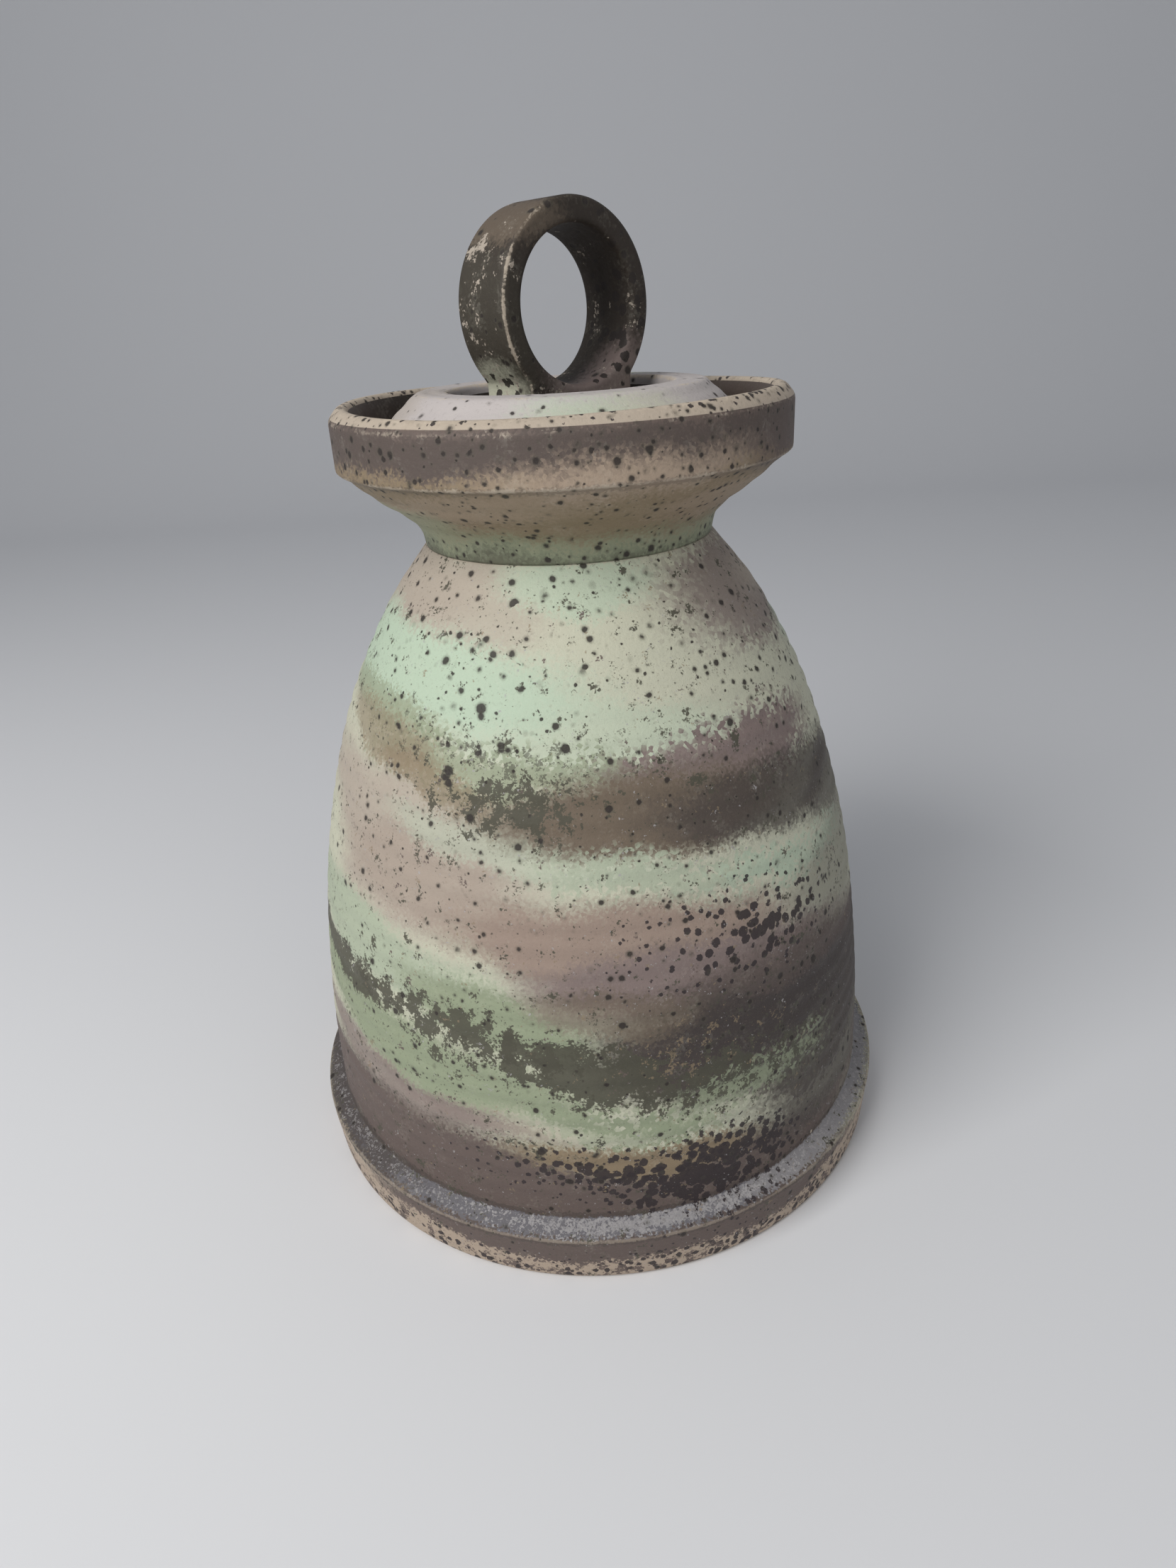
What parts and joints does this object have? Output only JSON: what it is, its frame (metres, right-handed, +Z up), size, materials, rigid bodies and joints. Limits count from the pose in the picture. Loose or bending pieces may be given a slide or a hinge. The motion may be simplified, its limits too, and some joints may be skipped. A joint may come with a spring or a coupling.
{
  "type": "lidded stoneware jar",
  "caption": "Bell-shaped stoneware jar with a stepped foot, a flared collar, and a drop-in lid lifted by an upright ring handle.",
  "frame": {"origin": "centre of the base, on the surface the jar stands on", "axes": "+Z up along the axis it was thrown on; the ring handle's own axis runs along Y, so its finger hole is open towards -Y and +Y"},
  "size_m": [0.1584, 0.1584, 0.2276],
  "materials": {
    "bell_glaze": "dry matt stoneware glaze clouded in green, pink-beige and brown, with iron spots",
    "collar_glaze": "dry matt stoneware glaze, brown over tan, with iron spots",
    "lid_glaze": "dry matt stoneware glaze, pale green and cream",
    "ring_glaze": "dry matt stoneware glaze, dark olive brown with worn cream edges"
  },
  "bodies": {
    "jar": {"jar_body": "bell_glaze", "collar": "collar_glaze"},
    "lid": {"lid": "lid_glaze", "ring_handle": "ring_glaze"}
  },
  "joints": [
    {"name": "lid_lift", "type": "slide", "parent": "jar", "child": "lid", "axis": [0, 0, 1], "range_m": [0, 0.06]}
  ]
}
